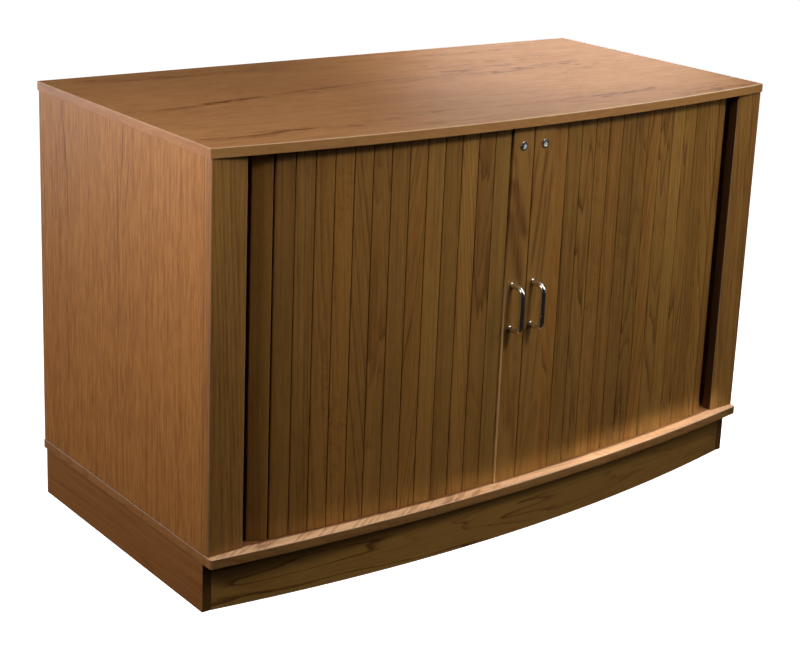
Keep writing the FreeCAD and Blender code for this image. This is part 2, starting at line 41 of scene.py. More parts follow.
# ---------------------------------------------------------------- shader helpers
class Tree:
    """Short names for building a material's nodes."""

    def __init__(self, name):
        self.mat = bpy.data.materials.new(name)
        self.mat.use_nodes = True
        self.t = self.mat.node_tree
        self.t.nodes.clear()
        self.out = self.t.nodes.new("ShaderNodeOutputMaterial")
        self.bsdf = self.t.nodes.new("ShaderNodeBsdfPrincipled")
        self.t.links.new(self.bsdf.outputs[0], self.out.inputs[0])
        self.co = self.t.nodes.new("ShaderNodeTexCoord").outputs["Object"]

    def put(self, socket, value):
        if isinstance(value, bpy.types.NodeSocket):
            self.t.links.new(value, socket)
        else:
            socket.default_value = value

    def math(self, op, a, b=0.0, c=0.0, clamp=False):
        n = self.t.nodes.new("ShaderNodeMath")
        n.operation, n.use_clamp = op, clamp
        self.put(n.inputs[0], a)
        self.put(n.inputs[1], b)
        self.put(n.inputs[2], c)
        return n.outputs[0]

    def add(self, *terms):
        s = terms[0]
        for x in terms[1:]:
            s = self.math("ADD", s, x)
        return s

    def mul(self, *terms):
        s = terms[0]
        for x in terms[1:]:
            s = self.math("MULTIPLY", s, x)
        return s

    def vmath(self, op, a, b):
        n = self.t.nodes.new("ShaderNodeVectorMath")
        n.operation = op
        self.put(n.inputs[0], a)
        self.put(n.inputs[1], b)
        return n.outputs["Value"] if op in ("DOT_PRODUCT", "DISTANCE") else n.outputs["Vector"]

    def vec(self, x, y, z):
        n = self.t.nodes.new("ShaderNodeCombineXYZ")
        for s, v in zip(n.inputs, (x, y, z)):
            self.put(s, v)
        return n.outputs[0]

    def noise(self, vector, scale=1.0, detail=2.0, rough=0.5):
        n = self.t.nodes.new("ShaderNodeTexNoise")
        n.noise_dimensions = "3D"
        self.put(n.inputs["Vector"], vector)
        n.inputs["Scale"].default_value = scale
        n.inputs["Detail"].default_value = detail
        n.inputs["Roughness"].default_value = rough
        return n.outputs["Fac"]

    def noise1(self, w, detail=1.0):
        n = self.t.nodes.new("ShaderNodeTexNoise")
        n.noise_dimensions = "1D"
        self.put(n.inputs["W"], w)
        n.inputs["Scale"].default_value = 1.0
        n.inputs["Detail"].default_value = detail
        return n.outputs["Fac"]

    def random(self, w):
        n = self.t.nodes.new("ShaderNodeTexWhiteNoise")
        n.noise_dimensions = "1D"
        self.put(n.inputs["W"], w)
        return n.outputs["Value"]

    def step(self, x, low, high, to_low=0.0, to_high=1.0):
        n = self.t.nodes.new("ShaderNodeMapRange")
        n.interpolation_type = "SMOOTHSTEP"
        self.put(n.inputs["Value"], x)
        n.inputs["From Min"].default_value = low
        n.inputs["From Max"].default_value = high
        n.inputs["To Min"].default_value = to_low
        n.inputs["To Max"].default_value = to_high
        return n.outputs["Result"]

    def ramp(self, fac, stops):
        n = self.t.nodes.new("ShaderNodeValToRGB")
        e = n.color_ramp.elements
        while len(e) < len(stops):
            e.new(0.5)
        for item, (pos, col) in zip(e, stops):
            item.position = pos
            item.color = (*col, 1.0)
        self.put(n.inputs["Fac"], fac)
        return n.outputs["Color"]

    def mix(self, fac, a, b, blend="MIX"):
        n = self.t.nodes.new("ShaderNodeMix")
        n.data_type, n.blend_type = "RGBA", blend
        self.put(n.inputs["Factor"], fac)
        for s, v in ((n.inputs[6], a), (n.inputs[7], b)):
            self.put(s, v if isinstance(v, bpy.types.NodeSocket) else (*v, 1.0))
        return n.outputs[2]

    def bump(self, height, strength, distance):
        n = self.t.nodes.new("ShaderNodeBump")
        n.inputs["Strength"].default_value = strength
        n.inputs["Distance"].default_value = distance
        self.put(n.inputs["Height"], height)
        self.put(self.bsdf.inputs["Normal"], n.outputs["Normal"])

    def set(self, **values):
        for key, v in values.items():
            self.put(self.bsdf.inputs[key.replace("_", " ")], v)


def scaled(col, tint):
    return tuple(c * k for c, k in zip(col, tint))


# ---------------------------------------------------------------- oak
AXES = {"x": (1, 0, 0), "y": (0, 1, 0), "z": (0, 0, 1)}
LIGHT, MID, DARK, PORE = (0.47, 0.215, 0.072), (0.355, 0.147, 0.046), (0.165, 0.058, 0.016), (0.070, 0.024, 0.008)


def board_axes(t, faces):
    """Along, across and depth for a board, by the face: faces = {'x': (along, across, seed), ...}."""
    sep = t.t.nodes.new("ShaderNodeSeparateXYZ")
    t.put(sep.inputs[0], t.co)
    pos = dict(zip("xyz", sep.outputs))
    geo = t.t.nodes.new("ShaderNodeNewGeometry")
    nrm = t.t.nodes.new("ShaderNodeSeparateXYZ")
    t.put(nrm.inputs[0], geo.outputs["True Normal"])
    a = b = c = None
    t.masks, sizes = {}, []
    for axis, out in zip("xyz", nrm.outputs):
        sizes.append(t.math("ABSOLUTE", out))
        m = t.masks[axis] = t.math("GREATER_THAN", sizes[-1], 0.62)
        along, across, seed = faces[axis]
        pa = t.mul(m, t.add(pos[along], seed * 1.7))
        pb = t.mul(m, t.add(pos[across], seed))
        pc = t.mul(m, pos[axis])
        a = pa if a is None else t.add(a, pa)
        b = pb if b is None else t.add(b, pb)
        c = pc if c is None else t.add(c, pc)
    t.pos = pos
    t.share = t.math("DIVIDE", 1.0, t.math("MAXIMUM", t.add(*t.masks.values()), 1.0))
    t.arris = t.math("LESS_THAN", t.math("MAXIMUM", t.math("MAXIMUM", sizes[0], sizes[1]), sizes[2]), 0.975)
    return t.mul(a, t.share), t.mul(b, t.share), t.mul(c, t.share)


def reach(t, a, low, high, soft):
    return t.mul(t.step(a, low - soft, low + soft), t.step(a, high - soft, high + soft, 1.0, 0.0))


def bell(t, x, width):
    x = t.math("DIVIDE", x, width)
    return t.math("EXPONENT", t.mul(x, x, -1.0))


def stroke(t, a, b, points, width, strength):
    """A dark growth line through three points (along, across), fading at its ends."""
    q = [float(v) for v in np.polyfit([p[0] for p in points], [p[1] for p in points], 2)]
    line = t.add(t.mul(t.add(t.mul(a, q[0]), q[1]), a), q[2])
    low, high = min(p[0] for p in points), max(p[0] for p in points)
    return t.mul(bell(t, t.math("SUBTRACT", b, line), width), reach(t, a, low, high, 0.12 * (high - low)), strength)


def band(t, a, b, across, slope, half, low, high, strength, often=11.0, lean=0.035, close=105.0):
    """A row of short open pores running along the grain."""
    off = t.math("SUBTRACT", b, t.add(across, t.mul(a, slope)))
    dash = t.step(t.noise(t.vec(t.mul(a, often), t.mul(t.add(off, t.mul(a, lean)), close), across * 90.0), 1.0, 2.0, 0.6), 0.50, 0.66)
    return t.mul(bell(t, off, half), reach(t, a, low, high, 0.06), dash, strength)


def stick_axes(t, along, across, depth, centre):
    rel = t.vmath("SUBTRACT", t.co, centre)
    return tuple(t.vmath("DOT_PRODUCT", rel, v) for v in (along, across, depth))


def oak(name, axes, seed, tint=(1, 1, 1), ka=1.1, kb=16.0, rings=9.0, slope=90.0, drift=0.0, ring=0.55, streak=0.30,
        broad=0.25, cluster=0.0, pore=0.5, fleck=0.0, base=0.30, rough=0.50, coat=0.10, bump=0.25, shine=0.30, sharp=2.0,
        grain=0.10, fine=0.5, strokes=(), bands=(), shade=None, arris=None, main=None,
        broken=0.0, comb=None, track=None, edge=None, plain=None, fade=None):
    """Lacquered oak.  The growth rings are the contour lines of a field drawn out along the grain."""
    t = Tree(name)
    a, b, c = axes(t)
    sa, sb = t.add(a, seed * 3.17), t.add(b, seed * 0.731)
    field = t.noise(t.vec(t.mul(sa, ka), t.mul(sb, kb), t.mul(c, kb * 0.6)), 1.0, 1.2, 0.45)
    wander = t.noise(t.vec(t.mul(sa, ka * 7.0), t.mul(sb, kb * 3.5), t.mul(c, kb)), 1.0, 2.0, 0.55)
    count = t.add(t.mul(field, rings), t.mul(wander, 0.55), t.mul(b, slope), t.mul(a, drift))
    count = t.add(count, t.mul(t.noise1(t.add(t.mul(count, 0.55), seed)), 1.1))
    part = t.math("FRACT", count)
    which = t.random(t.add(t.math("FLOOR", count), round(seed * 13.0)))
    early = t.mul(t.math("POWER", t.math("SUBTRACT", 1.0, part), sharp), t.step(part, 0.0, 0.10))
    early = t.mul(early, t.step(which, 0.0, 1.0, 0.25, 1.15))
    fibre = t.noise(t.vec(t.mul(sa, 8.0), t.mul(sb, 560.0 * fine), t.mul(c, 560.0 * fine)), 1.0, 3.0, 0.62)
    short = t.noise(t.vec(t.mul(sa, 26.0), t.mul(sb, 430.0 * fine), t.mul(c, 430.0 * fine)), 1.0, 2.0, 0.6)
    wide = t.noise(t.vec(t.mul(sa, 1.3), t.mul(sb, 75.0), t.mul(c, 75.0)), 1.0, 2.0, 0.55)
    cloud = t.noise(t.vec(t.mul(sa, 2.2), t.mul(sb, 9.0), t.mul(c, 9.0)), 1.0, 2.0, 0.5)
    pores = t.step(t.noise(t.vec(t.mul(sa, 62.0), t.mul(sb, 2300.0), t.mul(c, 2300.0)), 1.0, 1.0, 0.5), 0.54, 0.70)
    pores = t.mul(pores, t.add(0.30, t.mul(early, 0.9)))
    rings_here = t.step(a, plain[0], plain[1], 1.0, 0.35) if plain else 1.0
    dark = t.add(base, t.mul(early, t.add(0.45, t.mul(fibre, 0.95)), ring, rings_here), t.mul(t.add(fibre, -0.5), streak * 2.0),
                 t.mul(t.add(wide, -0.5), broad * 2.0), t.mul(t.add(cloud, -0.5), broad * 1.4),
                 t.mul(t.add(short, -0.5), grain * 2.0))
    if cluster:
        near = t.step(t.noise(t.vec(t.mul(sa, 1.6), t.mul(sb, 13.0), 3.3), 1.0, 1.0), 0.47, 0.64)
        dash = t.step(t.noise(t.vec(t.mul(sa, 9.0), t.mul(sb, 210.0), 1.7), 1.0, 2.0, 0.6), 0.54, 0.70)
        dark = t.add(dark, t.mul(near, dash, cluster))
    if fleck:
        lean = t.add(sa, t.mul(sb, 0.45))
        spot = t.step(t.noise(t.vec(t.mul(lean, 95.0), t.mul(sb, 46.0), 0.4), 1.0, 1.5, 0.5), 0.50, 0.66)
        where = t.step(t.noise(t.vec(t.mul(sa, 5.5), t.mul(sb, 22.0), 7.1), 1.0, 1.0), 0.42, 0.60)
        dark = t.add(dark, t.mul(spot, where, fleck))
    if strokes or bands:
        marks = [stroke(t, a, b, *v) for v in strokes] + [band(t, a, b, *v) for v in bands]
        marks = t.mul(t.add(0.0, *marks), t.add(0.45, fibre))
        if broken:
            gaps = t.noise(t.vec(t.mul(sa, 34.0), t.mul(t.add(sb, t.mul(a, 0.06)), 90.0), 5.9), 1.0, 2.0, 0.6)
            marks = t.mul(marks, t.step(gaps, 0.36, 0.60, 1.0 - broken, 1.0 + 0.4 * broken))
        dark = t.add(dark, t.mul(marks, t.masks[main]) if main else marks)
    if comb:
        skew = t.add(t.mul(a, -0.532), t.mul(b, 0.847))
        down = t.add(t.mul(a, 0.847), t.mul(b, 0.532))
        stripe = t.step(t.noise(t.vec(t.mul(skew, 165.0), t.mul(down, 15.0), 2.2), 1.0, 2.0, 0.55), 0.46, 0.64)
        dark = t.add(dark, t.mul(stripe, reach(t, a, comb[0], comb[1], 0.10), t.masks[main],
                                  t.step(b, -0.235, -0.215, 1.0, 0.0), comb[2]))
    dark = t.math("MAXIMUM", dark, 0.0)
    col = t.ramp(dark, [(0.0, scaled(LIGHT, tint)), (0.42, scaled(MID, tint)), (1.0, scaled(DARK, tint))])
    col = t.mix(t.mul(pores, pore), col, scaled(PORE, tint))
    arris_highlight = 0.0
    # painted light and shade: each face direction (x, y, z) gets its own colour multiplier, so faces that get more or
    # less light come out lighter or darker
    if shade:
        tone_and_shade = [t.mul(t.share, t.add(*(t.mul(t.masks[k], shade[k][ch]) for k in "xyz"))) for ch in range(3)]
        col = t.mix(1.0, col, t.vec(*tone_and_shade), "MULTIPLY")
    # painted shade: on the ledge's top, the strip behind the slats' front line is multiplied darker, as a contact
    # shadow at the slats' feet
    if track:
        far = t.vmath("DISTANCE", t.vec(t.pos["x"], t.pos["y"], 0.0), (0.0, track[0], 0.0))
        inner = t.mul(t.masks["z"], t.step(far, track[1], track[2], 1.0, 0.0))
        col = t.mix(inner, col, t.mix(1.0, col, track[3], "MULTIPLY"))
        # the top face is also darkened and warmed at the two ends of the ledge, beyond |x| 0.606
        ends = t.step(t.math("ABSOLUTE", t.pos["x"]), 0.6060, 0.6070)
        col = t.mix(t.mul(ends, t.masks["z"]), col, t.mix(1.0, col, (0.80, 0.55, 0.30), "MULTIPLY"))
    # painted light and shade: the main face is made lighter or darker in a ramp along the board's length
    if fade:
        tone_and_shade = t.step(a, fade[0], fade[1], fade[2], fade[3])
        tone_and_shade = t.add(1.0, t.mul(t.masks[main], t.add(tone_and_shade, -1.0)))
        col = t.mix(1.0, col, t.vec(tone_and_shade, tone_and_shade, tone_and_shade), "MULTIPLY")
    # painted highlight: a warm pale strip along one edge of a rail, strongest low down and fading upwards, for the
    # light on the rail's side face
    if edge:
        painted_edge_light = t.mul(t.step(b, edge[0], edge[1], 1.0, 0.0), t.step(a, edge[2], edge[3], edge[4], 0.0))
        col = t.mix(painted_edge_light, col, (0.88, 0.52, 0.22))
    # painted highlight: the bevelled arrises are blended towards pale tan, more so towards +x, and made glossier
    if arris:
        arris_highlight = t.mul(t.arris, t.step(t.pos["x"], -0.50, 0.40, *arris))
        col = t.mix(arris_highlight, col, (0.90, 0.74, 0.54))
    t.set(Base_Color=col, Coat_Weight=coat, Coat_Roughness=0.42, Specular_IOR_Level=shine)
    t.set(Roughness=t.add(rough, t.mul(pores, 0.22), t.mul(t.add(fibre, -0.5), 0.12), t.mul(arris_highlight, -0.45)))
    t.bump(t.add(t.mul(pores, -1.0), t.mul(early, -0.35), t.mul(fibre, 0.35)), bump, 0.0004)
    return t.mat


def give(node, mat):
    o = nodes[node]
    o.data.materials.clear()
    o.data.materials.append(mat)


def rim(obj):
    """Marks the outer edge of a board's upper face."""
    verts = obj.data.vertices
    high = max(v.co.z for v in verts)
    upper = [v for v in verts if v.co.z > high - 1e-5]
    pts = sorted({(round(v.co.x, 5), round(v.co.y, 5)) for v in upper})
    ring = []
    for order in (pts, pts[::-1]):
        side = []
        for q in order:
            while len(side) > 1 and ((side[-1][0] - side[-2][0]) * (q[1] - side[-2][1])
                                     - (side[-1][1] - side[-2][1]) * (q[0] - side[-2][0])) <= 0:
                side.pop()
            side.append(q)
        ring += side[:-1]
    ring = set(ring)
    group = obj.vertex_groups.new(name="rim")
    group.add([v.index for v in upper if (round(v.co.x, 5), round(v.co.y, 5)) in ring], 1.0, "REPLACE")


def soften(obj, width, segments=3, angle=35.0, clean=False):
    """Eases the arrises of a piece."""
    w = obj.modifiers.new("join", "WELD")
    w.merge_threshold = 1e-5
    if clean:
        rim(obj)
        d = obj.modifiers.new("flat", "DECIMATE")
        d.decimate_type, d.angle_limit = "DISSOLVE", math.radians(0.2)
        r = obj.modifiers.new("upper", "BEVEL")
        r.width, r.segments = width, segments
        r.use_clamp_overlap = False
        r.limit_method, r.vertex_group = "VGROUP", "rim"
    b = obj.modifiers.new("ease", "BEVEL")
    b.width, b.segments = min(width, 0.0008) if clean else width, segments
    b.limit_method, b.angle_limit = "ANGLE", math.radians(angle)
    b.use_clamp_overlap = True
    n = obj.modifiers.new("shade", "WEIGHTED_NORMAL")
    n.keep_sharp = False
    n.weight = 80


CASE = (1.12, 1.00, 0.74)
# painted sheen: TOP is less orange than CASE, standing in for the whitish gloss on the top
TOP = (0.985, 1.04, 1.17)
# painted shade: FRONT is a darker, more olive copy of the oak for the door front, stiles, rails and kick, for the
# front's dimmer light
FRONT = (0.66, 0.71, 0.44)
WHOLE = (1.0, 1.0, 1.0)
LIE_X = {"x": ("y", "z", 2.3), "y": ("x", "z", 4.1), "z": ("x", "y", 0.0)}
STAND = {"x": ("z", "y", 0.0), "y": ("z", "x", 3.7), "z": ("y", "x", 6.1)}
LONG_Y = {"x": ("y", "z", 0.0), "y": ("z", "x", 5.3), "z": ("y", "x", 6.1)}
LONG_X = {"x": ("z", "y", 3.9), "y": ("x", "z", 0.0), "z": ("x", "y", 6.1)}


def board(name, node, faces, seed, width=0.0012, clean=False, **kw):
    give(node, oak(name, lambda t: board_axes(t, faces), seed, **kw))
    soften(nodes[node], width, clean=clean)


# growth lines of the top: three points (across the front, front to back), width, strength
TOP_LINES = [
    (((-0.606, 0.014), (-0.470, 0.023), (-0.371, 0.048)), 0.0037, 0.29),
    (((-0.420, 0.034), (-0.241, 0.054), (-0.120, 0.070)), 0.0044, 0.53),
    (((-0.180, 0.060), (-0.065, 0.073), (0.027, 0.078)), 0.0037, 0.40),
    (((-0.550, 0.006), (-0.453, 0.020), (-0.343, 0.040)), 0.0042, 0.40),
    (((-0.576, 0.276), (-0.486, 0.274), (-0.385, 0.262)), 0.0037, 0.34),
    (((-0.408, 0.268), (-0.339, 0.256), (-0.231, 0.249)), 0.0042, 0.43),
    (((-0.540, 0.262), (-0.450, 0.254), (-0.340, 0.244)), 0.0032, 0.26),
    (((-0.001, 0.253), (0.065, 0.265), (0.132, 0.260)), 0.0035, 0.34),
    (((-0.598, -0.196), (-0.557, -0.204), (-0.456, -0.207)), 0.0048, 0.45),
    (((-0.589, -0.215), (-0.528, -0.218), (-0.443, -0.228)), 0.0037, 0.31),
    (((-0.486, -0.199), (-0.431, -0.203), (-0.305, -0.222)), 0.0044, 0.50),
    (((-0.247, -0.201), (-0.182, -0.196), (-0.110, -0.185)), 0.0040, 0.43),
    (((-0.035, 0.051), (0.038, 0.061), (0.148, 0.085)), 0.0042, 0.43),
    (((0.186, 0.047), (0.251, 0.054), (0.354, 0.073)), 0.0044, 0.52),
    (((0.307, 0.076), (0.381, 0.090), (0.454, 0.099)), 0.0037, 0.41),
    (((0.156, 0.258), (0.237, 0.254), (0.319, 0.250)), 0.0035, 0.38),
    (((0.344, 0.288), (0.426, 0.286), (0.523, 0.291)), 0.0032, 0.29),
    (((0.173, -0.190), (0.212, -0.199), (0.276, -0.199)), 0.0042, 0.45),
    (((0.204, -0.219), (0.271, -0.211), (0.380, -0.187)), 0.0042, 0.50),
    (((0.368, -0.241), (0.447, -0.233), (0.524, -0.222)), 0.0039, 0.43),
    (((0.410, -0.256), (0.486, -0.250), (0.569, -0.247)), 0.0037, 0.40),
    (((-0.211, -0.184), (-0.137, -0.183), (-0.052, -0.185)), 0.0035, 0.22),
    (((-0.260, -0.254), (-0.164, -0.261), (-0.055, -0.269)), 0.0039, 0.26),
    (((0.039, -0.228), (0.136, -0.206), (0.245, -0.176)), 0.0035, 0.22),
    (((0.304, -0.009), (0.402, 0.016), (0.498, 0.028)), 0.0035, 0.26),
]
TOP_ROWS = [
    # across at the middle, slope, half width, from, to, strength, dashes per metre, lean
    (0.058, 0.036, 0.018, 0.02, 0.45, 0.82, 16.0, 0.10, 80.0), (0.095, 0.040, 0.022, 0.05, 0.48, 0.60, 18.0, 0.12, 80.0),
    (0.262, -0.020, 0.020, 0.00, 0.48, 0.66, 16.0, 0.12, 80.0), (0.150, 0.020, 0.022, 0.05, 0.50, 0.46, 18.0, 0.10, 80.0),
    (-0.214, 0.050, 0.016, 0.12, 0.46, 0.74, 16.0, 0.12, 80.0), (-0.225, -0.060, 0.034, 0.34, 0.61, 0.52, 18.0, 0.14, 80.0),
    (0.010, 0.100, 0.040, 0.28, 0.56, 0.58, 18.0, 0.14, 80.0), (-0.209, -0.030, 0.014, -0.62, 0.02, 0.44, 12.0, 0.05, 80.0),
    (0.262, -0.030, 0.016, -0.55, 0.00, 0.40, 12.0, 0.03, 80.0), (0.050, 0.048, 0.012, -0.60, 0.05, 0.44, 12.0, 0.05, 80.0),
]
# painted light and shade on the top: its side faces are lightened and its front edge darkened, and its arrises carry a
# painted highlight
board("oak_top", "top_panel", LIE_X, 1.31, width=0.0015, clean=True, tint=TOP, ka=0.75, kb=7.5, rings=9, slope=16, drift=1.2,
      ring=0.14, sharp=4.0, streak=0.17, broad=0.14, pore=0.30, base=0.24, rough=0.44, coat=0.0, shine=0.22, grain=0.32,
      fine=0.20, strokes=[(p, w, v * (1.35 if p[1][0] > 0.15 else 1.0)) for p, w, v in TOP_LINES], bands=TOP_ROWS, main="z",
      shade={"x": (1.14, 0.98, 0.80), "y": (0.88, 0.91, 0.78), "z": WHOLE}, arris=(0.16, 0.50), broken=0.8)
# painted light and shade on the ledge: its very pale tint stands in for the strong light on its top, its end and front
# faces are darkened, its top is darker towards the left end and behind the slats, and its arrises carry a painted
# highlight
board("oak_ledge", "bottom_panel", LIE_X, 2.77, width=0.0016, clean=True, tint=(2.04, 2.72, 4.42), ka=2.2, kb=15, rings=10,
      slope=60, drift=12, ring=0.40, streak=0.22, broad=0.25, fleck=0.20, base=0.06, rough=0.48, coat=0.10, grain=0.12, main="z",
      comb=(-0.62, -0.04, 0.56), fade=(-0.50, 0.18, 0.76, 1.0), track=(3.9465, 4.2282, 4.2322, (0.34, 0.23, 0.14)),
      shade={"x": (0.48, 0.33, 0.17), "y": (0.28, 0.22, 0.115), "z": WHOLE}, arris=(0.10, 0.30))
SIDE_LINES = [
    (((0.741, 0.236), (0.618, 0.217), (0.513, 0.215)), 0.0024, 0.52),
    (((0.693, 0.257), (0.546, 0.248), (0.439, 0.245)), 0.0022, 0.40),
    (((0.747, 0.018), (0.691, 0.022), (0.589, 0.033)), 0.0024, 0.52),
    (((0.691, -0.001), (0.645, 0.006), (0.602, 0.012)), 0.0022, 0.42),
    (((0.588, 0.038), (0.550, 0.039), (0.500, 0.039)), 0.0020, 0.26),
    (((0.746, -0.037), (0.600, -0.040), (0.418, -0.042)), 0.0018, 0.18),
    (((0.400, 0.222), (0.330, 0.219), (0.260, 0.218)), 0.0030, 0.22),
    (((0.600, 0.200), (0.450, 0.196), (0.300, 0.196)), 0.0016, 0.16),
]
for k, side in enumerate(("left", "right")):
    flip = [(tuple((p, q) for p, q in pts), w, v) for pts, w, v in SIDE_LINES]
    if k:
        flip = [(tuple((0.86 - p, 0.02 - q) for p, q in pts), w, v) for pts, w, v in SIDE_LINES]
    board("oak_%s_side" % side, side + "_side_panel", STAND, 3.9 + k * 2.6, width=0.0010, tint=CASE, ka=0.62, kb=9.0,
          rings=6, slope=70, drift=0.6, ring=0.15, sharp=3.0, streak=0.42, broad=0.13, pore=0.40, base=0.22, rough=0.50,
          coat=0.03, shine=0.20, grain=0.58, fine=0.42, strokes=flip, main="x")
    # painted light and shade on the stiles: the left stile's side faces are lightened to the case's tone, the right
    # stile's side faces (inner) darkened, and their arrises carry a painted highlight
    inner = (0.32, 0.26, 0.24)
    board("oak_%s_stile" % side, side + "_stile", STAND, 5.2 + k * 1.9, width=0.0014, tint=FRONT, ka=1.0, kb=22,
          rings=5, slope=110, drift=5, ring=0.62, sharp=3.0, streak=0.46, broad=0.40, base=0.25, grain=0.26, fine=0.42, main="y",
          strokes=[] if k == 0 else [(((0.470, 0.556), (0.400, 0.573), (0.320, 0.592)), 0.0045, 0.40),
                                     (((0.430, 0.560), (0.360, 0.580), (0.300, 0.590)), 0.0030, 0.30)],
          shade={"x": (1.62, 1.36, 1.63) if k == 0 else inner, "y": WHOLE, "z": WHOLE}, arris=(0.12, 0.12))
    # painted shade: the base boards' end faces are darkened
    board("oak_base_%s" % side, "base_%s_board" % side, LONG_Y, 6.4 + k * 2.2, width=0.0012, tint=scaled(CASE, (0.84, 0.80, 0.76)),
          ka=1.1, kb=24, rings=8, slope=60, drift=2, ring=0.30, sharp=3.0, base=0.34, grain=0.14,
          shade={"x": WHOLE, "y": (0.30, 0.35, 0.36), "z": WHOLE})
    board("oak_inner_%s" % side, side + "_inner_side", STAND, 7.7 + k, width=0.0008, tint=(1.15, 1.25, 1.45), ka=0.8,
          kb=9, rings=8, slope=90, ring=0.30, base=0.16, rough=0.5, coat=0.05)
# painted light and shade: the kick is lighter at its left end and darker at its right
board("oak_kick", "base_front_kick", LONG_X, 8.35, width=0.0012, tint=scaled(FRONT, (1.12, 1.18, 1.26)), ka=1.7, kb=26,
      rings=9, slope=16, drift=3, ring=1.55, sharp=5.0, streak=0.20, broad=0.22, base=0.16, main="y",
      plain=(-0.08, 0.22), fade=(-0.45, 0.25, 1.16, 0.86))
board("oak_base_back", "base_back_board", LONG_X, 9.1, width=0.0012, tint=CASE, ka=1.2, kb=20, rings=8, slope=40)
board("oak_shelf", "shelf", LIE_X, 9.9, width=0.0012, tint=(1.15, 1.25, 1.45), ka=0.8, kb=9, rings=9, slope=30,
      ring=0.30, base=0.16, rough=0.5, coat=0.05)
board("hardboard", "back_panel", STAND, 10.6, width=0.0008, tint=(0.95, 1.02, 1.1), ka=0.9, kb=8, rings=7, slope=60,
      ring=0.30, base=0.30, rough=0.6, coat=0.0)


def stick(node):
    """Centre and directions of a slat or rail, from its own mesh."""
    co = np.array([v.co for v in nodes[node].data.vertices], float)
    xy = co[:, :2]
    low, high = xy.min(0), xy.max(0)
    mid = xy.mean(0)
    best = None
    for deg in np.arange(-75.0, 75.01, 0.25):
        r = math.radians(deg)
        u, n = np.array([math.cos(r), math.sin(r)]), np.array([-math.sin(r), math.cos(r)])
        p, q = xy @ u, xy @ n
        area = (p.max() - p.min()) * (q.max() - q.min())
        if best is None or area < best[0] - 1e-9:
            best = (area, u, n, (p.max() + p.min()) / 2, (q.max() + q.min()) / 2)
    _, u, n, pm, qm = best
    c = u * pm + n * qm
    return (0, 0, 1), (u[0], u[1], 0), (n[0], n[1], 0), (c[0], c[1], 0.4245)


# one figure per slat: straight, leaning, arched or flecked
FIGURE = {
    "straight": dict(ka=0.9, kb=20, rings=3.0, slope=120, drift=2.5, ring=0.32, sharp=2.5, streak=0.24, broad=0.38),
    "lean": dict(ka=1.4, kb=22, rings=3.0, slope=120, drift=15.0, ring=0.62, sharp=3.0, streak=0.22, broad=0.30),
    "lean_back": dict(ka=1.4, kb=22, rings=3.0, slope=120, drift=-15.0, ring=0.62, sharp=3.0, streak=0.22, broad=0.30),
    "arch": dict(ka=2.4, kb=32, rings=6.0, slope=20, drift=7.0, ring=0.66, sharp=3.0, streak=0.22, broad=0.28),
    "fleck": dict(ka=1.0, kb=24, rings=3.0, slope=120, drift=6.0, ring=0.36, sharp=2.5, streak=0.24, broad=0.30, fleck=0.16),
}
LEFT = ["straight", "arch", "lean", "straight", "straight", "lean_back", "straight", "arch", "lean", "fleck", "fleck",
        "straight", "straight", "straight", "straight"]
RIGHT = ["arch", "straight", "arch", "fleck", "straight", "fleck", "arch", "lean_back", "arch", "straight", "arch",
         "straight", "lean", "straight", "straight"]
# growth lines of the two lead rails: three points (height, across), width, strength
LEAD_LINES = {
    "left": [(((0.655, -0.0420), (0.6015, -0.0261), (0.5500, -0.0080)), 0.0110, 0.62),
             (((0.600, -0.0465), (0.5405, -0.0325), (0.4700, -0.0170)), 0.0105, 0.58),
             (((0.701, -0.0429), (0.6639, -0.0371), (0.6300, -0.0290)), 0.0030, 0.30),
             (((0.706, -0.0110), (0.6826, -0.0081), (0.6500, -0.0050)), 0.0040, 0.34),
             (((0.380, -0.0420), (0.3000, -0.0300), (0.2000, -0.0220)), 0.0050, 0.36),
             (((0.300, -0.0140), (0.2300, -0.0110), (0.1400, -0.0100)), 0.0040, 0.30)],
    "right": [(((0.700, 0.0100), (0.6422, 0.0040), (0.5881, 0.0020)), 0.0030, 0.60),
              (((0.700, 0.0290), (0.6053, 0.0213), (0.5016, 0.0103)), 0.0034, 0.66),
              (((0.672, 0.0443), (0.5680, 0.0389), (0.4600, 0.0325)), 0.0032, 0.56),
              (((0.640, 0.0350), (0.5400, 0.0280), (0.4200, 0.0200)), 0.0026, 0.46),
              (((0.420, 0.0400), (0.3300, 0.0330), (0.2300, 0.0280)), 0.0024, 0.40),
              (((0.350, 0.0160), (0.2600, 0.0120), (0.1500, 0.0090)), 0.0024, 0.36)],
}
rng = np.random.RandomState(41)
